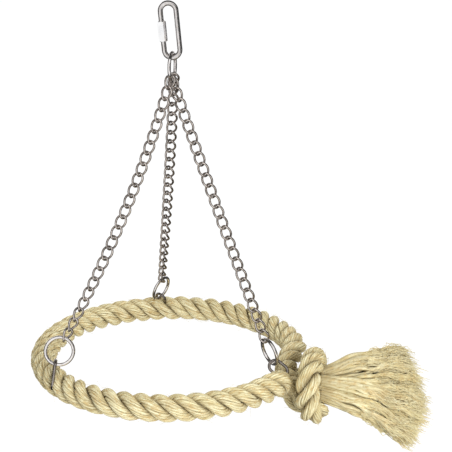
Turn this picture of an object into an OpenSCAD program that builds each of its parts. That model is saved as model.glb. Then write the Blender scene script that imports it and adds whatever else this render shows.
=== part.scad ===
// Hanging swing for pet birds: a sisal rope ring on three curb chains, a top ring and a quick link
// Millimetres, origin at the inside top of the quick link's bow, +X toward the tassel, +Z up

/* [Quick link] */
// Diameter of the quick link's wire
link_wire = 4.4; // [3.6:0.1:5.4]
// Outer length of the quick link
link_len = 49.6; // [46:0.2:58]
// Outer width of the quick link
link_w = 17.4; // [16.8:0.2:21]
// Lean of the quick link from the vertical, in degrees
link_lean = 5.5; // [0:0.5:9]
// Width of the hexagonal sleeve nut across its flats
nut_flats = 6.5; // [6.2:0.1:8.6]
// Turn of the sleeve nut about its leg from an edge facing the front, in degrees
nut_turn = 20; // [0:1:59]
// Length of the sleeve nut
nut_len = 17; // [15:0.5:20]
// Chamfer on the sleeve nut's ends
nut_chamfer = 0.6; // [0.2:0.1:1]
// Clearance between the nut's bore and the leg
nut_clear = 0.15; // [0.1:0.05:0.3]
// Length of the upper stub that the closed nut covers
nut_grip = 1.5; // [1:0.1:2.5]

/* [Rings] */
// Diameter of the wire of the top ring and of the three swing rings
ring_wire = 3; // [2.4:0.1:3.6]
// Outer diameter of the top ring and of the three swing rings
ring_od = 26.4; // [25:0.2:34]
// Turn of the top ring about the vertical, in degrees
ring_turn = 13; // [0:1:25]
// Turns of the left, right and back swing rings about their chains, in degrees
swing_ring_turns = [29, 38, 42]; // [0:1:60]
// Clearance where a piece hangs on another
hang_play = 0.4; // [0.3:0.05:0.5]

/* [Chains] */
// Diameter of the chain wire
chain_wire = 2; // [1.6:0.1:2.4]
// Room beside a ring's wire inside an end link
chain_room = 3; // [2:0.1:3.2]
// Distance from one link to the next
chain_pitch = 9.55; // [9.4:0.05:11.5]
// Number of links in each chain
chain_links = 25; // [15:1:30]
// Clearance between neighbouring links
chain_play = 0.3; // [0.2:0.05:0.5]
// Twist of each end of a link out of its middle plane, in degrees
chain_twist = 44; // [40:1:50]
// Sags of the middles of the left, right and back chains under their straight lines
chain_sags = [8, 1, 5.5]; // [1:0.5:9]
// Places of the left, right and back chains along the top ring's wire, from its lowest point
chain_places = [8.2, -0.4, -7.6]; // [-9:0.1:9]
// Turns from facing the front of the first link, the link at chain_turn_at and the last link of each chain
chain_turns = [[-18, -2, -47], [-18, 8, 15], [-18, 25, 61]]; // [-65:1:65]
// Share of a chain's length at which its second turn is reached
chain_turn_at = 0.65; // [0.3:0.05:0.8]

/* [Rope ring] */
// Diameter of the rope
rope_d = 23; // [20:0.5:26]
// Outer diameter of the rope ring
seat_d = 250; // [220:1:300]
// Directions of the left, right and back swing rings round the rope ring, in degrees
eye_turns = [214.5, 332, 95]; // [0:0.5:360]
// Height angles of the left, right and back rope links about the rope, in degrees
eye_rolls = [81, 140, 107]; // [60:1:150]
// Distance from the middle of the rope to the top of the back rope link
eye_rise = 17; // [16:0.5:22]
// Where the rope ring's front stretch turns out to the knot, in degrees
front_leave = -40; // [-55:1:-36]
// Where the rope ring's back stretch turns out to the knot, in degrees
back_leave = 6; // [4:1:20]

/* [Rope links] */
// Diameter of the wire of the rope links
eye_wire = 2.6; // [2:0.1:3]
// Outer lengths of the left, right and back rope links
eye_lens = [27, 20, 27]; // [18:0.5:32]
// Room beside a ring's wire inside a rope link
eye_room = 5.2; // [3.8:0.1:5.5]
// Dips of the left, right and back rope links into the rope, in degrees below level
eye_dips = [79, 31, 52]; // [10:1:85]
// Clearance between a rope link and the rope
eye_clear = 0.2; // [0.1:0.05:0.4]

/* [Knot] */
// Direction of the knot from the middle of the rope ring, in degrees
knot_at = -22; // [-26:1:-18]
// Distance of the knot's middle outside the middle line of the rope
knot_out = 19.6; // [18:0.2:24]
// Drop of the knot's middle below the rope ring
knot_drop = 10.8; // [6:0.2:16]
// Turn of the knot's axis from straight outward, in degrees
knot_aim = 14; // [8:1:20]
// Diameter of the rope where it is pulled tight round the knot
turn_d = 21; // [18:0.5:24]
// Width of one squeezed rope end inside the knot
end_w = 14; // [12:0.5:16]
// Height of a squeezed rope end inside the knot
end_h = 20.5; // [18:0.5:22]
// Length of the squeezed ends before the knot's middle
end_in = 16; // [15.5:0.5:20]
// Length of the squeezed ends past the knot's middle
end_out = 16; // [16:0.5:20]
// Clearance between the wrapped turn and the rope ends
knot_clear = 0.3; // [0.2:0.05:0.5]

/* [Tassel] */
// Length of the tassel's strands past the rope ends
tassel_len = 90; // [70:1:115]
// Radius of a loosened strand at its brushed-out end
strand_r = 9; // [6:0.1:9.4]
// Slope of a rope end's four strands away from each other
strand_fan = 0.15; // [0.12:0.01:0.2]
// Sideways slope of each rope end's strands away from the knot's axis
bundle_fan = 0.21; // [0.18:0.01:0.25]
// Slope by which the back strands rise over the front ones
bundle_rise = 0.12; // [0.08:0.01:0.18]
// Slope by which the tassel leaves the knot upward
tassel_lift = 0.03; // [0:0.01:0.2]
// Droop of the tassel's far end
tassel_droop = 10; // [5:1:26]

/* [Hidden] */
$fn = 48;

up = [0, 0, 1];
steel = "silver";
dark_steel = "dimgray";
straw = "burlywood";
pale_straw = "wheat";

// Vectors
function unit(v) = v / norm(v);
function across(v, axis) = unit(v - (v * axis) * axis);
function turned(v, axis, angle) =
    v * cos(angle) + cross(axis, v) * sin(angle) + axis * (axis * v) * (1 - cos(angle));
function flat_dir(angle) = [cos(angle), sin(angle), 0];
function mix(a, b, t) = a + (b - a) * t;
function bent(v, power) = sign(v) * pow(abs(v), 2 / power);

// Quick link: two half-round bows and two legs, leaning about the upper bow's middle
bow_r = (link_w - link_wire) / 2;
leg_span = link_len - link_w;
bow_top = [0, 0, link_wire / 2 - bow_r];
bow_bottom = bow_top + leg_span * [sin(link_lean), 0, -cos(link_lean)];
upper_stub = leg_span / 2 - nut_len / 2 + nut_grip;
lower_stub = nut_len - nut_clear;

// Top ring: hangs on the lower bow
ring_r = (ring_od - ring_wire) / 2;
ring_top = bow_bottom - up * (bow_r - link_wire / 2 - ring_wire / 2 - hang_play);
ring_mid = ring_top - up * ring_r;
ring_way = -[sin(ring_turn), cos(ring_turn), 0];

// Chains: each sags from the top ring to a rope link, through a swing ring
chain_half_len = (chain_pitch + chain_wire + chain_play) / 2;
chain_half_w = (ring_wire + chain_room + chain_wire) / 2;
chain_len = chain_links * chain_pitch + chain_wire + chain_play;
chain_seat = (ring_wire + chain_wire) / 2 + hang_play;
eye_seat = (ring_wire + eye_wire) / 2 + hang_play;
link_bend = 2.4;
front = [0, -1, 0];

function chain_chord(i) = chain_len - 8 / 3 * pow(chain_sags[i], 2) / chain_len;
function whole_reach(i) = chain_chord(i) - 2 * chain_seat + 2 * ring_r - eye_seat;
function chain_hook(i) =
    let (a = chain_places[i] / ring_r * 180 / PI)
    ring_mid + ring_r * (sin(a) * ring_way - cos(a) * up);

// Rope ring: level, hung from the back rope link
seat_r = (seat_d - rope_d) / 2;
function eye_out(i) = flat_dir(eye_turns[i]);
function eye_along(i) = flat_dir(eye_turns[i] + 90);
function drop_below(hook, out, along, roll, rise) =
    let (side = seat_r + rise * cos(roll) - hook * out)
    sqrt(pow(whole_reach(2), 2) - pow(side, 2) - pow(hook * along, 2)) + rise * sin(roll);
seat_z = chain_hook(2)[2]
    - drop_below(chain_hook(2), eye_out(2), eye_along(2), eye_rolls[2], eye_rise);
seat_mid = [0, 0, seat_z];

// Distance of a rope link's top from the middle of the rope, so that all chains are one length
function eye_reach(i) =
    let (hook = chain_hook(i),
         side = seat_r - hook * eye_out(i),
         rise = seat_z - hook[2],
         k = side * cos(eye_rolls[i]) + rise * sin(eye_rolls[i]),
         c = pow(side, 2) + pow(hook * eye_along(i), 2) + pow(rise, 2) - pow(whole_reach(i), 2))
    -k - sqrt(k * k - c);
function eye_tip(i) =
    eye_out(i) * (seat_r + eye_reach(i) * cos(eye_rolls[i]))
    + up * (seat_z + eye_reach(i) * sin(eye_rolls[i]));
function chain_way(i) = unit(eye_tip(i) - chain_hook(i));
function swing_ring_mid(i) = chain_hook(i) + chain_way(i) * (chain_chord(i) - 2 * chain_seat + ring_r);
function swing_ring_axis(i) =
    turned(across(eye_along(i), chain_way(i)), chain_way(i), swing_ring_turns[i]);
function swing_ring_wire_way(i) = cross(swing_ring_axis(i), chain_way(i));

// Rope links: oval links that dip from the swing rings into the rope
eye_half_w = (ring_wire + eye_room + eye_wire) / 2;
function eye_span(i) = eye_lens[i] - 2 * eye_half_w - eye_wire;
function eye_way(i) = eye_out(i) * cos(eye_dips[i]) - up * sin(eye_dips[i]);
function eye_axis(i) = across(swing_ring_wire_way(i), eye_way(i));
function eye_bow(i) = eye_tip(i) + eye_half_w * across(chain_way(i), eye_axis(i));

// Knot: one turn of rope round the two rope ends
knot_mid = seat_mid + flat_dir(knot_at) * (seat_r + knot_out) - up * knot_drop;
knot_way = flat_dir(knot_at + knot_aim);
knot_side = flat_dir(knot_at + knot_aim + 90);
front_pull = [0.7, 0.7];
back_pull = [0.6, 1];
turn_half_w = end_w + knot_clear + turn_d / 2;
turn_half_h = end_h / 2 + knot_clear + turn_d / 2;
turn_bend = 2.6;
turn_shift = [
    [-80, 0.14], [0, -0.01], [50, -0.15], [110, -0.18], [150, -0.02],
    [180, 0.12], [200, -0.05], [225, -0.5]];
turn_start = -80;
turn_stop = 225;

// Tassel: four loosened strands from each rope end
strand_gap = 0.3;
strand_start_r = end_w / 4 - strand_gap;
tip_from = 0.85;
tip_taper = 0.8;
strand_places = [for (side = [-1, 1], y = [-1, 1], z = [-1, 1]) [side, y, z]];

// Rings of points along a tube
function tube_ring(c, a, b, ra, rb, sides) =
    [for (s = [0 : sides - 1]) c + a * ra * cos(360 * s / sides) + b * rb * sin(360 * s / sides)];
function joined(lists) = [for (l = lists, p = l) p];

// Solid from rings of points: closed into a loop, or with a flat face at each end
module tube(rings, loop = false) {
    n = len(rings);
    m = len(rings[0]);
    last = loop ? n - 1 : n - 2;
    sides = [for (i = [0 : last], s = [0 : m - 1])
        let (j = (i + 1) % n, q = (s + 1) % m)
        each [[i * m + s, j * m + s, i * m + q], [i * m + q, j * m + s, j * m + q]]];
    ends = loop ? [] : [[for (s = [0 : m - 1]) s], [for (s = [m - 1 : -1 : 0]) (n - 1) * m + s]];
    polyhedron(points = joined(rings), faces = concat(sides, ends), convexity = 6);
}

module place(origin, x, y, z) {
    multmatrix([
        [x[0], y[0], z[0], origin[0]],
        [x[1], y[1], z[1], origin[1]],
        [x[2], y[2], z[2], origin[2]],
        [0, 0, 0, 1]])
        children();
}

module half_bow(r, wire) {
    rotate_extrude(angle = 180)
        translate([r, 0])
            circle(d = wire);
}

module wire_ring() {
    rotate_extrude()
        translate([ring_r, 0])
            circle(d = ring_wire);
}

module in_quick_link() {
    translate(bow_top)
        rotate([0, -link_lean, 0])
            children();
}

module leg(x, from, to) {
    translate([x, 0, -to])
        cylinder(d = link_wire, h = to - from);
}

module quick_link() {
    color(steel)
        in_quick_link() {
            rotate([90, 0, 0])
                half_bow(bow_r, link_wire);
            translate([0, 0, -leg_span])
                rotate([-90, 0, 0])
                    half_bow(bow_r, link_wire);
            leg(bow_r, 0, leg_span);
            leg(-bow_r, 0, upper_stub);
            leg(-bow_r, leg_span - lower_stub, leg_span);
        }
}

module sleeve_nut() {
    nut_round = nut_flats / cos(30);
    color(steel)
        in_quick_link()
            translate([-bow_r, 0, -(leg_span + nut_len) / 2])
                difference() {
                    intersection() {
                        rotate([0, 0, 30 + nut_turn])
                            cylinder(d = nut_round, h = nut_len, $fn = 6);
                        rotate_extrude()
                            polygon([
                                [0, 0],
                                [nut_round / 2 - nut_chamfer, 0],
                                [nut_round / 2, nut_chamfer],
                                [nut_round / 2, nut_len - nut_chamfer],
                                [nut_round / 2 - nut_chamfer, nut_len],
                                [0, nut_len]]);
                    }
                    translate([0, 0, -nut_chamfer])
                        cylinder(d = link_wire + 2 * nut_clear, h = nut_len + 2 * nut_chamfer);
                }
}

module top_ring() {
    color(steel)
        translate(ring_mid)
            rotate([0, 90, -ring_turn])
                wire_ring();
}

// Middle line of one chain link and its twisted normal, along the link's own axes
function link_point(q) =
    let (x = chain_half_len * bent(cos(q), link_bend),
         y = chain_half_w * bent(sin(q), link_bend),
         a = -chain_twist * x / chain_half_len)
    [x, y * cos(a), y * sin(a)];
function link_normal(q) =
    let (a = -chain_twist * bent(cos(q), link_bend))
    [0, -sin(a), cos(a)];

module chain_link(origin, way, side) {
    steps = 16;
    normal = cross(way, side);
    rings = [for (s = [0 : steps - 1])
        let (q = 360 * (s + 0.5) / steps,
             ahead = unit(link_point(q + 1) - link_point(q - 1)),
             a = across(link_normal(q), ahead),
             b = cross(ahead, a))
        tube_ring(link_point(q), a, b, chain_wire / 2, chain_wire / 2, 6)];
    place(origin, way, side, normal)
        tube(rings, loop = true);
}

// One chain: links spaced along a shallow arc, turned little by little so that each end takes its ring
module chain(i) {
    way = chain_way(i);
    start = chain_hook(i) - chain_seat * way;
    chord = way * chain_chord(i);
    bow = across(-up, way) * 4 * chain_sags[i];
    flat_side = unit(cross(way, front));
    turns = [[0, chain_turns[i][0]], [chain_turn_at, chain_turns[i][1]], [1, chain_turns[i][2]]];
    color(dark_steel)
        for (k = [0 : chain_links - 1]) {
            f = (chain_half_len + k * chain_pitch) / chain_len;
            ahead = unit(chord + bow * (1 - 2 * f));
            side = turned(flat_side, way, lookup(k / (chain_links - 1), turns));
            chain_link(start + chord * f + bow * f * (1 - f), ahead, across(side, ahead));
        }
}

module swing_ring(i) {
    axis = swing_ring_axis(i);
    way = chain_way(i);
    color(steel)
        place(swing_ring_mid(i), way, cross(axis, way), axis)
            wire_ring();
}

module oval(span, wire) {
    rotate([0, 0, 90])
        half_bow(eye_half_w, wire);
    translate([span, 0, 0])
        rotate([0, 0, -90])
            half_bow(eye_half_w, wire);
    for (side = [-1, 1])
        translate([0, side * eye_half_w, 0])
            rotate([0, 90, 0])
                cylinder(d = wire, h = span);
}

module rope_link_shape(i, wire) {
    way = eye_way(i);
    axis = eye_axis(i);
    place(eye_bow(i), way, cross(axis, way), axis)
        oval(eye_span(i), wire);
}

module rope_link(i) {
    color(dark_steel)
        rope_link_shape(i, eye_wire);
}

module rope_ring() {
    color(straw)
        difference() {
            translate(seat_mid)
                rotate([0, 0, back_leave])
                    rotate_extrude(angle = 360 + front_leave - back_leave, $fn = 120)
                        translate([seat_r, 0])
                            circle(d = rope_d);
            for (i = [0, 2])
                rope_link_shape(i, eye_wire + 2 * eye_clear);
        }
}

// Middle line of a rope end: a curve off the rope ring, then straight through the knot
function curve_point(p, t) =
    p[0] * pow(1 - t, 3) + p[1] * 3 * t * pow(1 - t, 2) + p[2] * 3 * t * t * (1 - t) + p[3] * pow(t, 3);
function end_curve(leave, turn, pull, side) =
    let (from = seat_mid + flat_dir(leave) * seat_r,
         to = knot_mid - knot_way * end_in + knot_side * side)
    [from, from + flat_dir(leave + turn) * rope_d * pull[0], to - knot_way * rope_d * pull[1], to];

module rope_end(curve) {
    steps = 14;
    at = [for (s = [0 : steps]) s / steps];
    last = curve[3] + knot_way * (end_in + end_out);
    mids = concat([for (t = at) curve_point(curve, t)], [last]);
    ways = concat(
        [for (t = at) unit(curve_point(curve, t + 0.01) - curve_point(curve, t - 0.01))], [knot_way]);
    squeeze = concat([for (t = at) t * t * (3 - 2 * t)], [1]);
    tube([for (s = [0 : steps + 1])
        let (side = unit(cross(up, ways[s])))
        tube_ring(
            mids[s], side, cross(ways[s], side),
            mix(rope_d, end_w, squeeze[s]) / 2, mix(rope_d, end_h, squeeze[s]) / 2, 12)]);
}

module rope_end_front() {
    color(straw)
        difference() {
            rope_end(end_curve(front_leave, 90, front_pull, -end_w / 2));
            rope_link_shape(1, eye_wire + 2 * eye_clear);
        }
}

module rope_end_back() {
    color(straw)
        difference() {
            rope_end(end_curve(back_leave, -90, back_pull, end_w / 2));
            rope_link_shape(1, eye_wire + 2 * eye_clear);
        }
}

function turn_point(a) =
    knot_mid + knot_way * rope_d * lookup(a, turn_shift)
    - knot_side * turn_half_w * bent(sin(a), turn_bend) + up * turn_half_h * bent(cos(a), turn_bend);

module rope_knot() {
    steps = 31;
    color(straw)
        tube([for (s = [0 : steps])
            let (a = mix(turn_start, turn_stop, s / steps),
                 ahead = unit(turn_point(a + 1) - turn_point(a - 1)),
                 side = across(knot_way, ahead))
            tube_ring(turn_point(a), side, cross(ahead, side), turn_d / 2, turn_d / 2, 12)]);
}

// One loosened strand: leaves a rope end, then spreads, swells and droops toward its brushed-out end
module tassel_strand(place_of) {
    steps = 9;
    side = place_of[0];
    from = knot_mid + knot_way * end_out
        + knot_side * (side * end_w / 2 + place_of[1] * end_w / 4) + up * place_of[2] * end_h / 4;
    fan = unit(knot_way
        + knot_side * (side * bundle_fan + place_of[1] * strand_fan)
        + up * (tassel_lift + side * bundle_rise + place_of[2] * strand_fan));
    color(pale_straw)
        tube([for (s = [0 : steps])
            let (t = s / steps,
                 tip = max(0, t - tip_from) / (1 - tip_from),
                 r = mix(strand_start_r, strand_r, t) * sqrt(1 - tip_taper * tip * tip),
                 way = s == 0 ? knot_way : unit(fan * tassel_len - up * 2 * tassel_droop * t),
                 a = across(knot_side, way))
            tube_ring(
                from + fan * tassel_len * t - up * tassel_droop * t * t,
                a, cross(way, a), r, r, 8)]);
}

quick_link();
sleeve_nut();
top_ring();
chain(0);  // chain_left
chain(1);  // chain_right
chain(2);  // chain_back
swing_ring(0);  // swing_ring_left
swing_ring(1);  // swing_ring_right
swing_ring(2);  // swing_ring_back
rope_link(0);  // rope_link_left
rope_link(1);  // rope_link_right
rope_link(2);  // rope_link_back
rope_ring();
rope_end_front();
rope_end_back();
rope_knot();
tassel_strand(strand_places[0]);  // tassel_strand_1
tassel_strand(strand_places[1]);  // tassel_strand_2
tassel_strand(strand_places[2]);  // tassel_strand_3
tassel_strand(strand_places[3]);  // tassel_strand_4
tassel_strand(strand_places[4]);  // tassel_strand_5
tassel_strand(strand_places[5]);  // tassel_strand_6
tassel_strand(strand_places[6]);  // tassel_strand_7
tassel_strand(strand_places[7]);  // tassel_strand_8
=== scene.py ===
import math

import bmesh
import bpy
import numpy as np
from bpy.props import FloatProperty, FloatVectorProperty, IntProperty, PointerProperty
from mathutils import Matrix, Vector


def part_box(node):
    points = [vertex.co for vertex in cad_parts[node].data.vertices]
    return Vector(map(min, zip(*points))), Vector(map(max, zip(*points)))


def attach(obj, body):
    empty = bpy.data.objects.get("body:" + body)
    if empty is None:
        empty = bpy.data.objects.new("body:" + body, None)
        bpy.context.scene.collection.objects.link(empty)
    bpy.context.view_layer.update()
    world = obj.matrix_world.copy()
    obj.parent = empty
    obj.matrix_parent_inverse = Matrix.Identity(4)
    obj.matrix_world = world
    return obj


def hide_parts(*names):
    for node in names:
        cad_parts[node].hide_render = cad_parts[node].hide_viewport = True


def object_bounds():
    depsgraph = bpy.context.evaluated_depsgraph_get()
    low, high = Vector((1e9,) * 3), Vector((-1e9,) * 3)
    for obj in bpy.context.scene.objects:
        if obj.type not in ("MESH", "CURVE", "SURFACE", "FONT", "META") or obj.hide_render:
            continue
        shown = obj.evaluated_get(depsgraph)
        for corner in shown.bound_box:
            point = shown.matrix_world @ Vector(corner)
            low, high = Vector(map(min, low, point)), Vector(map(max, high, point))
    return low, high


bl_info = {
    "name": "Rope ring swing",
    "version": (1, 0, 0),
    "blender": (4, 5, 0),
    "location": "View3D > Sidebar > Rope Swing",
    "description": "Dresses a hanging rope ring swing: rope, knot, tassel, chains, wire and stage",
    "category": "Object",
}

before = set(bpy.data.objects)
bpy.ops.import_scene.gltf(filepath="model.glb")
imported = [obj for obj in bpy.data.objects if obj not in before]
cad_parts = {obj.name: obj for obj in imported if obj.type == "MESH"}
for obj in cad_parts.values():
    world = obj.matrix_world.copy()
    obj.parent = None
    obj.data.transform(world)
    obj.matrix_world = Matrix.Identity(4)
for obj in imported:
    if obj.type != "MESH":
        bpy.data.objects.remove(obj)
CAD_LOW, CAD_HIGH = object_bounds()

UP = np.array((0.0, 0.0, 1.0))
SIDES = ("left", "right", "back")


def flat_dir(degrees):
    """Level direction at a number of degrees from +X."""
    a = math.radians(degrees)
    return np.array((math.cos(a), math.sin(a), 0.0))


# The rope ring, as its CAD node has it.
SEAT_LOW, SEAT_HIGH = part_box("rope_ring")
ROPE_D = SEAT_HIGH.z - SEAT_LOW.z
SEAT_R = (SEAT_HIGH.y - SEAT_LOW.y - ROPE_D) / 2
SEAT_MID = UP * (SEAT_HIGH.z + SEAT_LOW.z) / 2

# Where the two rope ends leave the ring, and where the knot sits and heads, in degrees from +X.
FRONT_LEAVE, BACK_LEAVE = -40.0, 6.0
KNOT_AT, KNOT_AIM = -22.0, 14.0
KNOT_OUT, KNOT_DROP = 0.0196, 0.0108
KNOT_MID = SEAT_MID + flat_dir(KNOT_AT) * (SEAT_R + KNOT_OUT) - UP * KNOT_DROP
KNOT_WAY = flat_dir(KNOT_AT + KNOT_AIM)
KNOT_SIDE = flat_dir(KNOT_AT + KNOT_AIM + 90)

# The squeezed rope ends: their section, how far before the knot's middle they get it, how far past it they
# run on, and the pull of their curves at the ring and at the knot, in rope diameters.
END_W, END_H = 0.014, 0.0205
END_IN, END_PAST = 0.016, 0.008
FRONT_PULL, BACK_PULL = (0.7, 0.7), (0.6, 1.0)

# The turn of rope wrapped round the two rope ends, and how square it goes round them.
TURN_D = 0.021
TURN_GAP = 0.0003
TURN_HALF_W = END_W + TURN_GAP + TURN_D / 2
TURN_HALF_H = END_H / 2 + TURN_GAP + TURN_D / 2
TURN_BOX = 2.6

# The turn by degrees round the knot: its shift along the knot in rope diameters, and its share of full reach.
TURN_SHIFT = (
    (-140, 0.15), (-80, 0.10), (0, -0.05), (50, -0.17), (110, -0.18), (150, 0.04),
    (175, 0.36), (188, 0.12), (203, -0.74), (215, -0.80), (240, -0.80), (280, -0.85))
TURN_TUCK = (
    (-140, 0.45), (-95, 0.9), (-75, 1.0), (185, 1.0), (205, 1.2), (230, 1.02), (280, 0.5))

# Points on each rope end between ring and knot, round the ring, inside the knot and on the turn.
END_POINTS, HOOP_POINTS, INSIDE_POINTS, TURN_POINTS = 120, 900, 30, 400

# Radii in a laid rope, as shares of its diameter, and the spacing of points along it.
STRAND_SHARE, YARN_SHARE, CORE_SHARE = 0.211, 0.0513, 0.15
LAID_STEP = 0.0016
# A strand's core ends this many yarn radii under its outside, and its yarns swell into each other.
CORE_UNDER, YARN_SWELL = 1.6, 1.04
# Shares by which yarns and the rope's core are pressed thinner in the knot.
YARN_PRESSED, CORE_PRESSED = 0.15, 0.2

# Uneven drifts, as size and wave length: a strand's turn and reach, a yarn's turn, reach and thickness in the
# laid rope, and the loosened yarns' and fibres' own.
STRAND_TURN_DRIFT, STRAND_REACH_DRIFT = (0.07, 0.06), (0.02, 0.05)
YARN_TURN_DRIFT, YARN_REACH_DRIFT, YARN_DRIFT = (0.10, 0.03), (0.035, 0.025), (0.07, 0.02)
LOOSE_DRIFT, FIBRE_CURL = (0.0016, 0.032), (0.0012, 0.011)
# Waves that add up to a drift, as shares of its wave length, and what brings their sum to size.
DRIFT_WAVES, DRIFT_SUM = (0.7, 1.3, 2.2), 1.7

# Steps of a tube's section.
FOUR_SIDED, EIGHT_SIDED, TEN_SIDED = 0, 2, 3

# Roots of the tassel's yarns: how far past the knot's middle and to each side they lie, and half the width and
# height of each bundle.
ROOT_PAST, ROOT_SIDE, ROOT_HALF_W, ROOT_HALF_H = 0.006, 0.0068, 0.0058, 0.0110
# Turn from yarn to yarn round a bundle, as a share of half a turn.
GOLDEN_STEP = 0.618

# Slopes of the yarns: out to each side, the opening of a bundle and a random stray, and for each bundle the
# rise of its middle and the opening up and down.
LEAN_SIDE, LEAN_OPEN, LEAN_STRAY = 0.16, 0.23, 0.02
BACK_RISE, BACK_OPEN = 0.20, 0.265
FRONT_RISE, FRONT_OPEN = -0.06, 0.115

# Lengths of the yarns, and the shares that the back bundle's highest and the front one's lowest yarns lack.
YARN_LENGTHS = (0.93, 1.03)
BACK_SHORT, FRONT_SHORT = 0.055, 0.13
# Fall of the front bundle, and what the back one's adds toward its far end.
FRONT_FALL, BACK_FALL = 1.2, 0.66
# Painted shade on the tassel near the knot, the painted shade that the back bundle's high yarns add to it, and
# the painted shade inside the knot.
ROOT_SHADE, BACK_TOP_SHADE, KNOT_INSIDE_SHADE = 0.89, 0.075, 0.68

# Radii of the yarns in the middle of a bundle and at its sides.
YARN_FULL, YARN_SIDE = 0.0022, 0.0016
# Shares of its length at which a yarn thins and ends, and up to which its fibres can go on.
YARN_THINS, YARN_ENDS, YARN_REACH = 0.40, 0.74, 1.1
PATH_POINTS, YARN_POINTS, FIBRE_POINTS = 56, 28, 11

# Fibres: where they leave the yarn and end, their radii, how far they stand apart in most of the tassel and in
# its lowest yarns, and how far they lie from the yarn's middle.
FIBRE_STARTS, FIBRE_ENDS = (0.16, 0.55), (0.93, 1.02)
FIBRE_RADII = (0.00025, 0.00042)
FIBRE_APART, FIBRE_CLOSE = 0.0022, 0.0016
FIBRE_SKIN = 0.0010

# Loose hairs: the share on the ring, the clear space round each swing ring, the points left out at a path's
# ends, the distance of the roots in rope diameters, and the hairs' lengths, lifts and radii.
HAIRS_ON_RING, HAIR_CLEAR, HAIR_MARGIN, HAIR_ROOT = 0.82, 0.03, 25, 0.47
HAIR_LENGTHS, HAIR_LIFTS = (0.003, 0.010), (0.1, 0.55)
HAIR_RADII, HAIR_POINTS = (0.00011, 0.00005), 5
HAIR_STEP = 0.001

# Points round a chain link and how square its corners are.
LINK_POINTS, LINK_BOX = 44, 2.4

# Starts of the random draws.
ROPE_SEED, KNOT_SEED, TASSEL_SEED, HAIR_SEED = 11, 23, 37, 53

# Colours that no setting holds, and shares of those that one does.
FIBRE_SHADE = (0.52, 0.43, 0.27, 1.0)
NUT_GREY = (0.93, 0.93, 0.94, 1.0)
FLOOR_GREY = (0.66, 0.66, 0.65, 1.0)
SCREEN_GREY = (0.05, 0.05, 0.05, 1.0)
WHITE = (1.0, 1.0, 1.0, 1.0)
WARM_SHARE = (0.86, 0.78, 0.66)
# The rope links' grey is the chain grey darkened as painted shade, for the shade they lie in between rope and
# knot.
LINK_SHADE_SHARE, RING_SHARE = 0.52, 1.25

# Floor: half its width, and the strength and share of the white that shows in it.
FLOOR_HALF, FLOOR_GLOW, FLOOR_WHITE = 12.0, 1.10, 0.9

# Dark screens: middle, axis and degrees of the turn, and depth.
SCREEN_WIDTH = 1.2
SCREENS = (
    ((-0.55, 0.05, -0.05), "Y", 90, 0.7),
    ((0.65, 0.50, -0.05), "Y", 90, 1.6),
    ((0.05, 0.50, 0.55), "Y", 0, 1.6),
    ((0.05, 0.50, -0.51), "Y", 0, 1.6),
    ((0.92, -0.85, 0.00), "X", 90, 1.0))

# Lamps: name, place, size and share of the key lamp's power. All aim at one point.
LAMPS = (
    ("key", (0.46, -1.42, 0.24), 0.7, 1.0),
    ("top", (-0.10, 0.05, 1.30), 0.9, 0.15),
    ("back", (-0.45, 1.15, 0.45), 0.9, 0.40))
LAMP_AIM = (0.05, 0.0, -0.25)

# Camera: degrees of yaw, pitch and roll, and its place from the middle of the rope ring.
CAMERA_TURN = (2.9008, 16.875, 0.395)
CAMERA_BACK, CAMERA_RISE = 0.97009, 0.41389
SENSOR_WIDTH = 36.0


class RopeSettings(bpy.types.PropertyGroup):
    """Sizes and colours of the laid sisal rope."""

    strands: IntProperty(
        name="Strands", description="Strands laid round each other", default=3, min=3, max=4)
    yarns: IntProperty(
        name="Yarns", description="Yarns round the outside of each strand", default=11, min=7, max=14)
    lay: FloatProperty(
        name="Lay", description="Length of rope in which a strand goes once round",
        default=0.0454, min=0.03, max=0.08, unit="LENGTH")
    lay_start: FloatProperty(
        name="Lay start",
        description="Turn of the strands at the start of the rope, as a share of a whole turn",
        default=0.165)
    yarn_turn: FloatProperty(
        name="Yarn turn", description="Turn of the yarns against the lay, in radians per metre of rope",
        default=-260.0)
    hairs: IntProperty(
        name="Hairs", description="Loose hairs that stand off the rope", default=600, min=0, max=4000)
    pale: FloatVectorProperty(
        name="Pale straw", description="Colour of the lightest yarns", subtype="COLOR", size=4,
        default=(0.85, 0.80, 0.545, 1.0))
    straw: FloatVectorProperty(
        name="Straw", description="Colour of most yarns", subtype="COLOR", size=4,
        default=(0.78, 0.715, 0.43, 1.0))
    golden: FloatVectorProperty(
        name="Golden straw", description="Colour of the darkest yarns", subtype="COLOR", size=4,
        default=(0.67, 0.51, 0.25, 1.0))
    # Painted shade: the colour mixed in deep between the strands, in the knot and at the tassel's root, where
    # shade falls.
    groove_shade: FloatVectorProperty(
        name="Groove", description="Colour deep between the strands", subtype="COLOR", size=4,
        default=(0.37, 0.30, 0.16, 1.0))


class TasselSettings(bpy.types.PropertyGroup):
    """Sizes of the loosened yarns past the knot."""

    yarns: IntProperty(
        name="Yarns", description="Yarns that each rope end opens into", default=48, min=20, max=60)
    fibres: IntProperty(
        name="Fibres", description="Fine fibres that each yarn is brushed out into",
        default=36, min=10, max=60)
    length: FloatProperty(
        name="Length", description="Length of the yarns", default=0.0905, min=0.07, max=0.12, unit="LENGTH")
    droop: FloatProperty(
        name="Droop", description="Fall of the tassel's far end below a straight line",
        default=0.012, min=0.0, max=0.04, unit="LENGTH")


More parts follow.
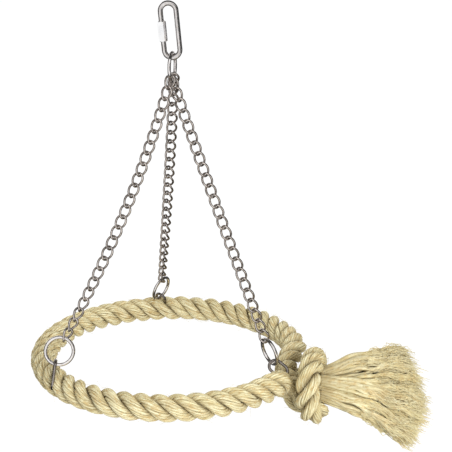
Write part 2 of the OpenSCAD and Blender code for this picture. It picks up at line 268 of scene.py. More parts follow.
class ChainSettings(bpy.types.PropertyGroup):
    """Sizes and colours of the chain links and the plated wire."""

    wire: FloatProperty(
        name="Wire", description="Diameter of the chain wire", default=0.002, unit="LENGTH")
    link_length: FloatProperty(
        name="Link length", description="Outer length of a chain link", default=0.01385, unit="LENGTH")
    link_width: FloatProperty(
        name="Link width", description="Outer width of a chain link", default=0.010, unit="LENGTH")
    twist: FloatProperty(
        name="Twist", description="Twist of each end of a link out of its middle plane",
        default=math.radians(44), subtype="ANGLE")
    chain_grey: FloatVectorProperty(
        name="Chain grey", description="Colour of the chain wire", subtype="COLOR", size=4,
        default=(0.69, 0.625, 0.58, 1.0))
    plate_grey: FloatVectorProperty(
        name="Plate grey", description="Colour of the plated rings and the quick link",
        subtype="COLOR", size=4, default=(0.74, 0.71, 0.70, 1.0))


class StageSettings(bpy.types.PropertyGroup):
    """Floor, light and camera."""

    floor_gap: FloatProperty(
        name="Floor gap", description="Height of the swing's lowest point over the floor",
        default=0.16, unit="LENGTH")
    ambient: FloatProperty(
        name="Ambient", description="Strength of the even studio light", default=0.46)
    key: FloatProperty(
        name="Key", description="Power of the large lamp beside the camera, in watts", default=20.0)
    lens: FloatProperty(
        name="Lens", description="Focal length of the camera", default=92.345, unit="CAMERA")


def unit(v):
    """Vectors made one long."""
    return v / np.linalg.norm(v, axis=-1, keepdims=True)


def ease(t):
    """Smooth step from 0 to 1."""
    t = np.clip(t, 0.0, 1.0)
    return t * t * (3 - 2 * t)


def bent(v, power):
    """Sine or cosine squared off toward a rounded box."""
    return np.sign(v) * np.abs(v) ** (2 / power)


def smoothed(row, width=25, times=3):
    """Row of numbers averaged with its neighbours, its ends held."""
    for _ in range(times):
        row = np.convolve(np.pad(row, width // 2, "edge"), np.ones(width) / width, "valid")
    return row


def distances(points):
    """Distance along a line at each of its points."""
    return np.concatenate([[0.0], np.cumsum(np.linalg.norm(np.diff(points, axis=0), axis=1))])


def points_at(places, known, points):
    """Points of a line at places between its known ones."""
    return np.stack([np.interp(places, known, points[:, i]) for i in range(3)], axis=1)


def evenly(points, step, *values):
    """Points spaced evenly along a line, the distance along it, and values carried with them."""
    at = distances(points)
    s = np.linspace(0.0, at[-1], max(3, round(at[-1] / step)) + 1)
    return [points_at(s, at, points), s] + [np.interp(s, at, v) for v in values]


def carried_axes(line):
    """Direction along a line and two axes across it that don't spin, the first one upward at the start."""
    way = unit(np.gradient(line, axis=0))
    first = np.empty_like(line)
    n = unit(UP - (UP @ way[0]) * way[0])
    for i, w in enumerate(way):
        n = unit(n - (n @ w) * w)
        first[i] = n
    return way, first, np.cross(way, first)


def waver(s, rng, size, wave):
    """Slow uneven drift along a line."""
    total = sum(
        np.sin(2 * math.pi * s / (wave * k) + rng.uniform(0, 2 * math.pi)) for k in DRIFT_WAVES)
    return size * total / DRIFT_SUM


def round_curve(name, radius, resolution):
    """Curve without splines that gets a round section."""
    curve = bpy.data.curves.new(name, "CURVE")
    curve.dimensions = "3D"
    curve.bevel_depth = radius
    curve.bevel_resolution = resolution
    return curve


def add_spline(curve, line):
    """Spline through a line of points."""
    spline = curve.splines.new("POLY")
    spline.points.add(len(line) - 1)
    spline.points.foreach_set("co", np.c_[line, np.ones(len(line))].astype(np.float32).ravel())
    return spline


def curve_mesh(curve):
    """Mesh made from a curve, which is removed."""
    holder = bpy.data.objects.new(curve.name, curve)
    bpy.context.scene.collection.objects.link(holder)
    graph = bpy.context.evaluated_depsgraph_get()
    mesh = bpy.data.meshes.new_from_object(holder.evaluated_get(graph))
    bpy.data.objects.remove(holder)
    bpy.data.curves.remove(curve)
    return mesh


def tubes(name, lines, radii, resolution, values):
    """Mesh of round closed tubes along lines of points.

    values gives the rows of each attribute, one row a line: a number for every point, or a point for every
    point and a size, which become the vertices' distances from those points in that size. The distance along
    each line is added as "along", where values doesn't give its own.
    """
    curve = round_curve(name, 1.0, resolution)
    curve.use_fill_caps = True
    for line, radius in zip(lines, radii):
        add_spline(curve, line).points.foreach_set("radius", radius.astype(np.float32))
    mesh = curve_mesh(curve)
    round_count = 4 + 2 * resolution
    co = np.empty(len(mesh.vertices) * 3, np.float32)
    mesh.vertices.foreach_get("co", co)
    for key, rows in {"along": [distances(p) for p in lines], **values}.items():
        rows, size = rows if isinstance(rows, tuple) else (rows, None)
        caps = [np.repeat(row[[-1, 0]], round_count, axis=0) for row in reversed(rows)]
        sides = [np.repeat(row, round_count, axis=0) for row in rows]
        flat = np.concatenate(caps + sides)
        if size:
            flat = np.linalg.norm(co.reshape(-1, 3) - flat, axis=1) / size
        mesh.attributes.new(key, "FLOAT", "POINT").data.foreach_set("value", flat.astype(np.float32))
    body = bmesh.new()
    body.from_mesh(mesh)
    bmesh.ops.remove_doubles(body, verts=body.verts, dist=1e-7)
    body.to_mesh(mesh)
    body.free()
    mesh.shade_smooth()
    mesh.name = name
    return mesh


def add_piece(name, mesh, material, body, slot, *nodes):
    """Puts a finished mesh in the scene on its body, in place of CAD nodes."""
    piece = bpy.data.objects.new(name, mesh)
    bpy.context.scene.collection.objects.link(piece)
    mesh.materials.clear()
    mesh.materials.append(material)
    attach(piece, body)
    if nodes:
        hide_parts(*nodes)


def new_material(name):
    """Material with an empty node tree, its shader and its output."""
    material = bpy.data.materials.new(name)
    material.use_nodes = True
    tree = material.node_tree
    tree.nodes.clear()
    out = tree.nodes.new("ShaderNodeOutputMaterial")
    shader = tree.nodes.new("ShaderNodeBsdfPrincipled")
    tree.links.new(shader.outputs["BSDF"], out.inputs["Surface"])
    return material, tree, shader


def add_node(tree, kind, links=(), sockets=(), **settings):
    """Node with its settings, its socket values and its incoming links."""
    made = tree.nodes.new(kind)
    for key, value in settings.items():
        setattr(made, key, value)
    for key, value in dict(sockets).items():
        made.inputs[key].default_value = value
    for key, source in dict(links).items():
        tree.links.new(source, made.inputs[key])
    return made


def math_node(tree, operation, links, sockets=()):
    """Output of a math node."""
    return add_node(tree, "ShaderNodeMath", links, sockets, operation=operation).outputs[0]


def noise(tree, place, scale, detail, roughness):
    """Output of a noise."""
    made = add_node(tree, "ShaderNodeTexNoise", {"Vector": place}, {
        "Scale": scale, "Detail": detail, "Roughness": roughness})
    return made.outputs["Fac"]


def mixed(tree, factor, a, b, blend="MIX"):
    """Output of a colour mix. A colour that isn't a socket is set on the node."""
    made = tree.nodes.new("ShaderNodeMix")
    made.data_type = "RGBA"
    made.blend_type = blend
    for socket, value in ((made.inputs[0], factor), (made.inputs[6], a), (made.inputs[7], b)):
        if isinstance(value, bpy.types.NodeSocket):
            tree.links.new(value, socket)
        else:
            socket.default_value = value
    return made.outputs[2]


def spread(tree, value, low, high, to_low=0.0, to_high=1.0):
    """Output of a value stretched from one range to another, held at both ends."""
    made = add_node(tree, "ShaderNodeMapRange", {"Value": value}, {
        "From Min": low, "From Max": high, "To Min": to_low, "To Max": to_high})
    return made.outputs["Result"]


def scaled(colour, share):
    """Opaque colour times one share, or times a share for each channel."""
    return [*np.multiply(colour[:3], share), 1.0]


def finish_shader(tree, shader, tone, height, strength, distance, rough):
    """Links a shader's colour, bump and roughness."""
    bump = add_node(tree, "ShaderNodeBump", {"Height": height}, {"Strength": strength, "Distance": distance})
    tree.links.new(tone, shader.inputs["Base Color"])
    tree.links.new(bump.outputs["Normal"], shader.inputs["Normal"])
    tree.links.new(rough, shader.inputs["Roughness"])


def sisal_material(name, rope, light=1.05, rough=0.85):
    """Sisal yarn: fine fibres along the yarn, yarns of many straw colours, and painted shade in the creases and
    grooves.

    light makes all its colours lighter, and rough is the depth of the shade between the fibres. The attributes
    strand_shade_mask and rope_shade_mask are 1 on the outside of a strand and of the rope, and less where
    painted shade darkens the colour toward the groove shade.
    """
    material, tree, shader = new_material(name)
    uv = add_node(tree, "ShaderNodeUVMap")
    around = add_node(tree, "ShaderNodeSeparateXYZ", {"Vector": uv.outputs["UV"]}).outputs["Y"]
    yarn, along, strand_shade_mask, rope_shade_mask = (
        add_node(tree, "ShaderNodeAttribute", attribute_name=key).outputs["Fac"]
        for key in ("yarn", "along", "strand_shade_mask", "rope_shade_mask"))

    def streaks(round_scale, along_scale, lean):
        """Noise drawn out along the yarn, leaning with the yarn's own twist and new in each yarn."""
        x = math_node(tree, "MULTIPLY", {0: around}, {1: round_scale})
        slant = math_node(tree, "MULTIPLY_ADD", {0: along, 2: x}, {1: lean})
        y = math_node(tree, "MULTIPLY", {0: along}, {1: along_scale})
        z = math_node(tree, "MULTIPLY", {0: yarn}, {1: 60.0})
        place = add_node(tree, "ShaderNodeCombineXYZ", {"X": slant, "Y": y, "Z": z})
        return noise(tree, place.outputs["Vector"], scale=1.0, detail=3.0, roughness=0.6)

    pale, straw, golden, groove_shade = (
        scaled(colour, light) for colour in (rope.pale, rope.straw, rope.golden, rope.groove_shade))
    fibre = streaks(round_scale=9.0, along_scale=70.0, lean=160.0)
    patch = streaks(round_scale=1.2, along_scale=45.0, lean=20.0)
    fleck = streaks(round_scale=4.5, along_scale=260.0, lean=90.0)
    tone = mixed(tree, spread(tree, yarn, 0.1, 0.95), pale, straw)
    for value, low, high, share, colour in (
            (patch, 0.50, 0.72, 0.8, golden), (patch, 0.46, 0.28, 0.8, pale),
            (fleck, 0.52, 0.63, 0.9, golden), (fleck, 0.46, 0.36, 1.0, pale)):
        tone = mixed(tree, spread(tree, value, low, high, to_high=share), tone, colour)
    tone = mixed(tree, spread(tree, fibre, 0.34, 0.60, rough, 0.0), tone, FIBRE_SHADE, "MULTIPLY")
    # Painted shade: the groove shade mixed in where the masks fall below 1, between the strands and deep in the
    # rope.
    for value, low, high, share in ((strand_shade_mask, 0.97, 0.86, 0.46), (rope_shade_mask, 0.90, 0.62, 0.80)):
        tone = mixed(tree, spread(tree, value, low, high, to_high=share), tone, groove_shade)
    finish_shader(tree, shader, tone, fibre, strength=0.8, distance=0.0004,
                  rough=spread(tree, fibre, 0.3, 0.7, 0.72, 0.95))
    shader.inputs["Specular IOR Level"].default_value = 0.16
    shader.inputs["Sheen Weight"].default_value = 0.03
    shader.inputs["Sheen Roughness"].default_value = 0.5
    return material


def plated_material(name, colour, dull, grain, worn=0.66):
    """Plated steel wire with drawn scratches, dull patches and slight dents.

    dull is the roughness of its clean places, grain the scale of the scratches, and worn the share of the
    colour that is left in the patches.
    """
    material, tree, shader = new_material(name)
    place = add_node(tree, "ShaderNodeTexCoord").outputs["Object"]
    patch = noise(tree, place, scale=160.0, detail=4.0, roughness=0.65)
    fine = noise(tree, place, scale=grain, detail=2.0, roughness=0.5)
    tone = mixed(tree, spread(tree, patch, 0.42, 0.70), list(colour), scaled(colour, worn))
    tone = mixed(tree, spread(tree, fine, 0.52, 0.72, to_high=0.5), tone, scaled(colour, WARM_SHARE))
    finish_shader(tree, shader, tone, fine, strength=0.25, distance=0.0002,
                  rough=spread(tree, patch, 0.3, 0.7, dull, dull + 0.16))
    shader.inputs["Metallic"].default_value = 1.0
    return material


def yarn_numbers(lines, rng):
    """One random number for each line, repeated along it."""
    return [np.full(len(p), rng.uniform()) for p in lines]


def laid_yarns(line, s, tight, thick, rope, rng):
    """Yarns of a laid rope, strand by strand: their middle lines, radii and tube attributes.

    tight is 0 where the rope is round and 1 where it is squeezed to a rope end in the knot. Each strand has
    a core inside its yarns, and the first strand also holds the rope's core.
    """
    way, first, second = carried_axes(line)
    level = unit(np.cross(UP, way) + KNOT_WAY * 1e-6)
    steep = np.cross(way, level)
    wide = (END_W / ROPE_D - 1) * tight[:, None]
    tall = (END_H / ROPE_D - 1) * tight[:, None]

    def squeezed(offset):
        """Offset from the rope's middle line, pressed flat where the rope is tight."""
        return (offset + level * wide * np.sum(offset * level, axis=1, keepdims=True)
                + steep * tall * np.sum(offset * steep, axis=1, keepdims=True))

    def turned(angle, a, b):
        """Direction at an angle between two axes across the rope."""
        return np.cos(angle)[:, None] * a + np.sin(angle)[:, None] * b

    strand_r = STRAND_SHARE * thick
    helix_r = thick / 2 - strand_r
    yarn_r = YARN_SHARE * thick
    result = []
    for j in range(rope.strands):
        turn = (2 * math.pi * (s / rope.lay + rope.lay_start + j / rope.strands)
                + waver(s, rng, *STRAND_TURN_DRIFT))
        out = turned(turn, first, second)
        offset = out * (helix_r * (1 + waver(s, rng, *STRAND_REACH_DRIFT)))[:, None]
        ahead = unit(np.gradient(line + offset, axis=0))
        across = unit(np.cross(ahead, out))
        outer = np.cross(across, ahead)
        lines, radii = [], []
        for m in range(rope.yarns + 1):
            core = m == rope.yarns
            spin = 2 * math.pi * m / rope.yarns + rope.yarn_turn * s + waver(s, rng, *YARN_TURN_DRIFT)
            reach = 0 * s if core else (strand_r - yarn_r) * (1 + waver(s, rng, *YARN_REACH_DRIFT))
            lines.append(line + squeezed(offset + turned(spin, outer, across) * reach[:, None]))
            full = strand_r - CORE_UNDER * yarn_r if core else yarn_r * YARN_SWELL
            radii.append(full * (1 + waver(s, rng, *YARN_DRIFT)) * (1 - YARN_PRESSED * tight))
        if j == 0:
            lines.append(line)
            radii.append(CORE_SHARE * thick * (1 - CORE_PRESSED * tight))
        hubs = [line + squeezed(offset)] * len(lines)
        # Distances from the strand's and the rope's middles, the masks of the painted shade in the grooves.
        result.append((lines, radii, {
            "yarn": yarn_numbers(lines, rng),
            "strand_shade_mask": (hubs, strand_r),
            "rope_shade_mask": ([line] * len(lines), thick / 2)}))
    return result


def add_strands(name, strands, material, *nodes):
    """Puts the strands of a laid rope on the seat, each one a piece."""
    for j, (lines, radii, values) in enumerate(strands):
        mesh = tubes(f"{name}_{j + 1}", lines, radii, EIGHT_SIDED, values)
        add_piece(mesh.name, mesh, material, "seat", "sisal_rope", *nodes)


def bezier(p, t):
    """Points on a cubic curve."""
    t = t[:, None]
    return p[0] * (1 - t) ** 3 + p[1] * 3 * t * (1 - t) ** 2 + p[2] * 3 * t * t * (1 - t) + p[3] * t ** 3


def end_curve(leave, turn, pull, side):
    """Middle line of a rope end from the rope ring to the knot, and how tight it is squeezed."""
    t = np.linspace(0, 1, END_POINTS)
    start = SEAT_MID + flat_dir(leave) * SEAT_R
    stop = KNOT_MID - KNOT_WAY * END_IN + KNOT_SIDE * side
    return bezier((
        start, start + flat_dir(leave + turn) * ROPE_D * pull[0],
        stop - KNOT_WAY * ROPE_D * pull[1], stop), t), ease(t)


def seat_line():
    """Middle line of the rope from inside the knot, round the ring and back, and how tight it is squeezed."""
    front, front_tight = end_curve(FRONT_LEAVE, 90, FRONT_PULL, -END_W / 2)
    back, back_tight = end_curve(BACK_LEAVE, -90, BACK_PULL, END_W / 2)
    turn = np.radians(np.linspace(360 + FRONT_LEAVE, BACK_LEAVE, HOOP_POINTS))
    hoop = SEAT_MID + SEAT_R * np.stack([np.cos(turn), np.sin(turn), 0 * turn], axis=1)
    inside = np.outer(np.linspace(0, END_IN + END_PAST, INSIDE_POINTS), KNOT_WAY)
    points = np.concatenate([
        (front[-1] + inside)[::-1], front[-2::-1], hoop[1:], back[1:], back[-1] + inside[1:]])
    tight = np.concatenate([
        np.ones(INSIDE_POINTS), front_tight[-2::-1], np.zeros(HOOP_POINTS - 1),
        back_tight[1:], np.ones(INSIDE_POINTS - 1)])
    return points, tight


def turn_line():
    """Middle line of the knot's wrapped turn, with both its ends tucked under."""
    a = np.linspace(TURN_SHIFT[0][0], TURN_SHIFT[-1][0], TURN_POINTS)
    shift = smoothed(np.interp(a, *zip(*TURN_SHIFT)))
    tuck = smoothed(np.interp(a, *zip(*TURN_TUCK)))
    a = np.radians(a)
    return (KNOT_MID
            + np.outer(shift * ROPE_D, KNOT_WAY)
            - np.outer(TURN_HALF_W * tuck * bent(np.sin(a), TURN_BOX), KNOT_SIDE)
            + np.outer(TURN_HALF_H * tuck * bent(np.cos(a), TURN_BOX), UP))


class SWING_OT_rope(bpy.types.Operator):
    """Lay the rope ring's strands yarn by yarn"""

    bl_idname = "swing.rope"
    bl_label = "Lay the rope ring"

    def execute(self, context):
        rope = context.scene.swing_rope
        rng = np.random.default_rng(ROPE_SEED)
        points, tight = seat_line()
        line, s, tight = evenly(points, LAID_STEP, tight)
        add_strands("rope_strand", laid_yarns(line, s, tight, ROPE_D, rope, rng),
                    sisal_material("laid_sisal", rope),
                    "rope_ring", "rope_end_front", "rope_end_back")
        return {"FINISHED"}


class SWING_OT_knot(bpy.types.Operator):
    """Wrap the knot's turn of rope round the two rope ends"""

    bl_idname = "swing.knot"
    bl_label = "Wrap the knot"

    def execute(self, context):
        rope = context.scene.swing_rope
        rng = np.random.default_rng(KNOT_SEED)
        line, s = evenly(turn_line(), LAID_STEP)
        add_strands("knot_strand", laid_yarns(line, s, 0 * s, TURN_D, rope, rng),
                    bpy.data.materials["laid_sisal"], "rope_knot")
        return {"FINISHED"}


class SWING_OT_tassel(bpy.types.Operator):
    """Loosen the two rope ends into yarns and brushed-out fibres"""

    bl_idname = "swing.tassel"
    bl_label = "Loosen the tassel"

    def execute(self, context):
        tassel = context.scene.swing_tassel
        rng = np.random.default_rng(TASSEL_SEED)
        # The tassel's copy is painted lighter, with less shade between its fibres, than the rope's: painted
        # light that stands in for light shining through the thin fibres.
        material = sisal_material("loose_sisal", context.scene.swing_rope, light=1.17, rough=0.62)
        for side, name, first in ((-1, "front", 1), (1, "back", 5)):
            rows = [row for i in range(tassel.yarns) for row in self.yarn(tassel, side, i, rng)]
            lines, radii, number, near_knot_shade, inside_shade, along = map(list, zip(*rows))
            mesh = tubes(f"tassel_{name}", lines, radii, FOUR_SIDED, {
                "yarn": number, "strand_shade_mask": near_knot_shade, "rope_shade_mask": inside_shade, "along": along})
            add_piece(mesh.name, mesh, material, "seat", "sisal_tassel",
                      *[f"tassel_strand_{n}" for n in range(first, first + 4)])
        return {"FINISHED"}

    def yarn(self, tassel, side, i, rng):
        """One yarn from inside the knot, and then the fibres that its far half opens into.

        Each comes as its line, radii, yarn number, painted shade near the knot, painted shade inside the knot
        and distances along the yarn. b is the yarn's height in its bundle and a its place across, both from -1
        to 1.
        """
        b = 2 * (i + rng.uniform(0.2, 0.8)) / tassel.yarns - 1
        a = math.sqrt(1 - b * b) * math.cos(math.pi * ((i * GOLDEN_STEP) % 1 + rng.uniform(-0.1, 0.1)))
        t = np.linspace(0, YARN_REACH, PATH_POINTS)
        if side > 0:
            rise = BACK_RISE + BACK_OPEN * b
            short = BACK_SHORT * max(b, 0)
            loose = FIBRE_APART
            # Painted shade on the back bundle's highest yarns, at the tassel's top.
            top_shade = BACK_TOP_SHADE * max(b - 0.1, 0)
            fall = t * t + BACK_FALL * t ** 4
        else:
            rise = FRONT_RISE + FRONT_OPEN * b
            short = FRONT_SHORT * min(b, 0) ** 2
            loose = FIBRE_APART if b > -0.3 else FIBRE_CLOSE
            top_shade = 0.0
            fall = FRONT_FALL * t * t
        start = (KNOT_MID + KNOT_WAY * ROOT_PAST + KNOT_SIDE * (side * ROOT_SIDE + a * ROOT_HALF_W)
                 + UP * (b * ROOT_HALF_H))
        fan = unit(KNOT_WAY
                   + KNOT_SIDE * (side * LEAN_SIDE + a * LEAN_OPEN + rng.normal(0, LEAN_STRAY))
                   + UP * (rise + rng.normal(0, LEAN_STRAY)))
        length = tassel.length * rng.uniform(*YARN_LENGTHS) * (1 - short)
        tint = rng.uniform()
        s = t * length
        grow = ease(t / 0.6)
        path = (start + np.outer(s, fan) - np.outer(tassel.droop * fall, UP)
                + np.outer(waver(s, rng, *LOOSE_DRIFT) * grow, KNOT_SIDE)
                + np.outer(waver(s, rng, *LOOSE_DRIFT) * grow, UP))

        def painted_near_knot_shade(u, fade):
            """Painted shade near the knot, which fades out along the yarn."""
            return ROOT_SHADE + (1 - ROOT_SHADE) * ease((u - 0.1) / fade) - top_shade

        u = np.linspace(0, YARN_ENDS, YARN_POINTS)
        full = YARN_FULL if abs(a) < 0.45 else YARN_SIDE
        thin = ease((u - YARN_THINS) / (YARN_ENDS - YARN_THINS))
        # The yarn's painted shade near the knot and inside it.
        yield (points_at(u, t, path), full * (1 + 0.2 * ease(u / 0.5)) * (1 - 0.85 * thin),
               np.full(len(u), tint), painted_near_knot_shade(u, 0.7),
               KNOT_INSIDE_SHADE + (1 - KNOT_INSIDE_SHADE) * ease(u / 0.3), u * length)
        for _ in range(tassel.fibres):
            begin = rng.uniform(*FIBRE_STARTS)
            far = rng.uniform(*FIBRE_ENDS)
            u = np.linspace(begin, far, FIBRE_POINTS)
            opened = ((u - begin) / (1 - begin)) ** 1.2
            away = rng.normal(0, 1, 3) * loose
            curl = (np.outer(waver(u * length, rng, *FIBRE_CURL), rng.normal(0, 1, 3))
                    * ease(opened * 2.5)[:, None])
            skin = unit(rng.normal(0, 1, 3)) * FIBRE_SKIN
            radius = rng.uniform(*FIBRE_RADII) * (1 - 0.65 * ease((u - far + 0.1) / 0.1))
            number = np.full(len(u), np.clip(tint + rng.normal(0, 0.006), 0, 1))
            yield (points_at(u, t, path) + skin + np.outer(opened, away) + curl, radius,
                   number, painted_near_knot_shade(u, 0.6), np.ones(len(u)), u * length)


class SWING_OT_hairs(bpy.types.Operator):
    """Scatter loose hairs over the rope ring and the knot"""

    bl_idname = "swing.hairs"
    bl_label = "Scatter loose hairs"

    def execute(self, context):
        rope = context.scene.swing_rope
        rng = np.random.default_rng(HAIR_SEED)
        paths = [evenly(points, HAIR_STEP)[0] for points in (seat_line()[0], turn_line())]
        rings = [np.array(sum(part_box(f"swing_ring_{side}"), Vector()) / 2) for side in SIDES]
        t = np.linspace(0, 1, HAIR_POINTS)[:, None]
        lines, radii = [], []
        for _ in range(rope.hairs):
            line = paths[0] if rng.uniform() < HAIRS_ON_RING else paths[1]
            i = rng.integers(HAIR_MARGIN, len(line) - HAIR_MARGIN - 1)
            way = unit(line[i + 1] - line[i - 1])
            out = unit(np.cross(way, rng.normal(0, 1, 3)))
            lean = unit(way * rng.choice((-1, 1)) + np.cross(way, out) * rng.normal(0, 0.5))
            root = line[i] + out * ROPE_D * HAIR_ROOT
            if min(np.linalg.norm(root - middle) for middle in rings) < HAIR_CLEAR:
                continue
            size = rng.uniform(*HAIR_LENGTHS)
            lines.append(root + lean * size * t + out * size * rng.uniform(*HAIR_LIFTS) * t ** 1.6)
            radii.append(np.linspace(*HAIR_RADII, HAIR_POINTS))
        # Ones: the hairs get no painted shade.
        plain = [np.ones(len(p)) for p in lines]
        mesh = tubes("rope_hairs", lines, radii, FOUR_SIDED, {
            "yarn": yarn_numbers(lines, rng), "strand_shade_mask": plain, "rope_shade_mask": plain})
        add_piece("rope_hairs", mesh, bpy.data.materials["laid_sisal"], "seat", "sisal_rope")
        return {"FINISHED"}


def link_places(node):
    """Place of each link of a CAD chain, with X along the link and Y across its middle."""
    body = bmesh.new()
    body.from_mesh(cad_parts[node].data)
    bmesh.ops.remove_doubles(body, verts=body.verts, dist=1e-6)
    left, places = set(body.verts), []
    while left:
        island, edge = set(), [left.pop()]
        while edge:
            v = edge.pop()
            island.add(v)
            near = {e.other_vert(v) for e in v.link_edges} & left
            left -= near
            edge += near
        co = np.array([v.co for v in island])
        mid = co.mean(axis=0)
        axes = np.linalg.eigh((co - mid).T @ (co - mid))[1][:, ::-1]
        axes[:, 2] = np.cross(axes[:, 0], axes[:, 1])
        place = Matrix.Identity(4)
        for r in range(3):
            place[r] = (*axes[r], mid[r])
        places.append(place)
    body.free()
    return places


class SWING_OT_chains(bpy.types.Operator):
    """Bend smooth twisted links where the CAD chains have theirs"""

    bl_idname = "swing.chains"
    bl_label = "Link the chains"

    def execute(self, context):
        chain = context.scene.swing_chain
        one = self.link(chain)
        material = plated_material("chain_wire", chain.chain_grey, dull=0.14, grain=900.0, worn=0.5)
        for side in SIDES:
            body = bmesh.new()
            for place in link_places(f"chain_{side}"):
                before = len(body.verts)
                body.from_mesh(one)
                body.verts.ensure_lookup_table()
                bmesh.ops.transform(body, matrix=place, verts=body.verts[before:])
            bmesh.ops.recalc_face_normals(body, faces=body.faces)
            mesh = bpy.data.meshes.new(f"chain_links_{side}")
            body.to_mesh(mesh)
            body.free()
            mesh.shade_smooth()
            add_piece(mesh.name, mesh, material, f"{side}_chain", "chain_steel", f"chain_{side}")
        return {"FINISHED"}

    def link(self, chain):
        """Mesh of one twisted link, with X along it and Y across its middle."""
        q = np.linspace(0, 2 * math.pi, LINK_POINTS, endpoint=False)
        half_len = (chain.link_length - chain.wire) / 2
        half_w = (chain.link_width - chain.wire) / 2
        x = half_len * bent(np.cos(q), LINK_BOX)
        y = half_w * bent(np.sin(q), LINK_BOX)
        a = -chain.twist * x / half_len
        curve = round_curve("link", chain.wire / 2, TEN_SIDED)
        add_spline(curve, np.stack([x, y * np.cos(a), y * np.sin(a)], axis=1)).use_cyclic_u = True
        return curve_mesh(curve)


class SWING_OT_wire(bpy.types.Operator):
    """Plate the quick link, its nut, the rings and the rope links"""

    bl_idname = "swing.wire"
    bl_label = "Plate the wire pieces"

    def execute(self, context):
        chain = context.scene.swing_chain
        plate = plated_material("plated_wire", chain.plate_grey, dull=0.10, grain=700.0)
        nut = plated_material("plated_nut", NUT_GREY, dull=0.05, grain=120.0, worn=0.9)
        # The rope links' darker grey is painted shade; their higher roughness is their duller finish.
        dull = plated_material("shaded_dull_wire", scaled(chain.chain_grey, LINK_SHADE_SHARE), dull=0.20, grain=900.0)
        ring = plated_material("ring_wire", scaled(chain.plate_grey, RING_SHARE), dull=0.12, grain=700.0)
        finish = {"quick_link": plate, "sleeve_nut": nut, "top_ring": ring}
        for side in SIDES:
            finish[f"swing_ring_{side}"] = ring
            finish[f"rope_link_{side}"] = dull
        for node, material in finish.items():
            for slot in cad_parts[node].material_slots:
                slot.material = material
        return {"FINISHED"}


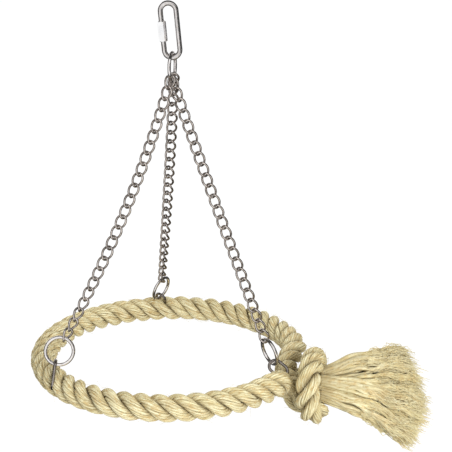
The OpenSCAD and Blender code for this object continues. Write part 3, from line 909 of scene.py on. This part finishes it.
class SWING_OT_stage(bpy.types.Operator):
    """Set the pale floor, the soft light and the camera"""

    bl_idname = "swing.stage"
    bl_label = "Set the stage"

    def execute(self, context):
        stage = context.scene.swing_stage
        self.lay_floor(stage)
        self.hang_screens()
        self.light(context.scene, stage)
        self.aim_camera(context.scene, stage)
        context.scene.view_settings.view_transform = "Standard"
        return {"FINISHED"}

    def seen_plainly(self, tree):
        """Output that is 1 for rays that show the background as it is."""
        path = tree.nodes.new("ShaderNodeLightPath")
        seen = path.outputs["Is Camera Ray"]
        for name in ("Is Glossy Ray", "Is Transmission Ray"):
            seen = math_node(tree, "MAXIMUM", {0: seen, 1: path.outputs[name]})
        return seen

    def lay_floor(self, stage):
        """Pale floor under the swing, which shows nearly white and still takes a shadow."""
        body = bmesh.new()
        bmesh.ops.create_grid(body, x_segments=1, y_segments=1, size=FLOOR_HALF)
        bmesh.ops.translate(body, verts=body.verts, vec=(0, 0, CAD_LOW.z - stage.floor_gap))
        mesh = bpy.data.meshes.new("floor")
        body.to_mesh(mesh)
        body.free()
        material, tree, shader = new_material("pale_floor")
        shader.inputs["Base Color"].default_value = FLOOR_GREY
        shader.inputs["Roughness"].default_value = 0.9
        white = add_node(tree, "ShaderNodeEmission", sockets={"Color": WHITE, "Strength": FLOOR_GLOW})
        share = math_node(tree, "MULTIPLY", {0: self.seen_plainly(tree)}, {1: FLOOR_WHITE})
        both = add_node(tree, "ShaderNodeMixShader", {
            0: share, 1: shader.outputs["BSDF"], 2: white.outputs["Emission"]})
        out = next(n for n in tree.nodes if n.bl_idname == "ShaderNodeOutputMaterial")
        tree.links.new(both.outputs["Shader"], out.inputs["Surface"])
        mesh.materials.append(material)
        floor = bpy.data.objects.new("floor", mesh)
        bpy.context.scene.collection.objects.link(floor)

    def hang_screens(self):
        """Dark screens behind and beside the swing, which only the metal mirrors along its edges."""
        body = bmesh.new()
        for middle, axis, turn, deep in SCREENS:
            place = Matrix.Translation(middle) @ Matrix.Rotation(math.radians(turn), 4, axis)
            bmesh.ops.create_grid(
                body, x_segments=1, y_segments=1, size=0.5,
                matrix=place @ Matrix.Diagonal((SCREEN_WIDTH, deep, 1, 1)))
        mesh = bpy.data.meshes.new("dark_screen")
        body.to_mesh(mesh)
        body.free()
        material, _, shader = new_material("dark_screen")
        shader.inputs["Base Color"].default_value = SCREEN_GREY
        shader.inputs["Roughness"].default_value = 1.0
        mesh.materials.append(material)
        screen = bpy.data.objects.new("dark_screen", mesh)
        for ray in ("camera", "diffuse", "shadow", "transmission", "volume_scatter"):
            setattr(screen, f"visible_{ray}", False)
        bpy.context.scene.collection.objects.link(screen)

    def light(self, scene, stage):
        """Even white studio light, and soft lamps that the metal doesn't mirror."""
        world = bpy.data.worlds.new("studio")
        world.use_nodes = True
        scene.world = world
        tree = world.node_tree
        back = tree.nodes["Background"]
        back.inputs["Color"].default_value = WHITE
        strength = spread(tree, self.seen_plainly(tree), 0, 1, stage.ambient, 1.0)
        tree.links.new(strength, back.inputs["Strength"])
        for name, place, size, share in LAMPS:
            lamp = bpy.data.lights.new(name, "AREA")
            lamp.size = size
            lamp.energy = stage.key * share
            holder = bpy.data.objects.new(name, lamp)
            holder.location = place
            aim = Vector(LAMP_AIM) - Vector(place)
            holder.rotation_euler = aim.to_track_quat("-Z", "Y").to_euler()
            holder.visible_glossy = False
            scene.collection.objects.link(holder)

    def aim_camera(self, scene, stage):
        """Camera in front of the swing and a little above it."""
        yaw, pitch, roll = (math.radians(a) for a in CAMERA_TURN)
        ahead = Vector((
            math.sin(yaw) * math.cos(pitch), math.cos(yaw) * math.cos(pitch), -math.sin(pitch)))
        right = Vector((math.cos(yaw), -math.sin(yaw), 0.0))
        above = right.cross(ahead)
        x = math.cos(roll) * right + math.sin(roll) * above
        y = math.cos(roll) * above - math.sin(roll) * right
        camera = bpy.data.objects.new("camera", bpy.data.cameras.new("camera"))
        camera.data.sensor_width = SENSOR_WIDTH
        camera.data.lens = stage.lens
        place = Matrix((x, y, -ahead)).transposed().to_4x4()
        place.translation = Vector((0.0, -CAMERA_BACK, SEAT_MID[2] + CAMERA_RISE))
        camera.matrix_world = place
        scene.collection.objects.link(camera)
        scene.camera = camera


class SWING_PT_panel(bpy.types.Panel):
    """Sizes, colours and building steps of the swing"""

    bl_idname = "SWING_PT_panel"
    bl_label = "Rope Swing"
    bl_space_type = "VIEW_3D"
    bl_region_type = "UI"
    bl_category = "Rope Swing"

    def draw(self, context):
        for group in GROUPS:
            settings = getattr(context.scene, group)
            box = self.layout.box()
            for key in settings.__annotations__:
                box.prop(settings, key)
        for operator in OPERATORS:
            self.layout.operator(operator.bl_idname)


OPERATORS = (
    SWING_OT_stage, SWING_OT_rope, SWING_OT_knot, SWING_OT_tassel, SWING_OT_hairs,
    SWING_OT_chains, SWING_OT_wire)
GROUPS = {
    "swing_rope": RopeSettings, "swing_tassel": TasselSettings,
    "swing_chain": ChainSettings, "swing_stage": StageSettings}


def register():
    """Adds the settings, the building steps and the panel."""
    for group in (*GROUPS.values(), *OPERATORS, SWING_PT_panel):
        bpy.utils.register_class(group)
    for name, group in GROUPS.items():
        setattr(bpy.types.Scene, name, PointerProperty(type=group))


def unregister():
    """Takes the settings, the building steps and the panel away again."""
    for name in GROUPS:
        delattr(bpy.types.Scene, name)
    for group in (SWING_PT_panel, *OPERATORS, *GROUPS.values()):
        bpy.utils.unregister_class(group)


def main():
    """Builds the stage and the swing step by step."""
    register()
    bpy.ops.swing.stage()
    bpy.ops.swing.rope()
    bpy.ops.swing.knot()
    bpy.ops.swing.tassel()
    bpy.ops.swing.hairs()
    bpy.ops.swing.chains()
    bpy.ops.swing.wire()


if __name__ == "__main__":
    main()
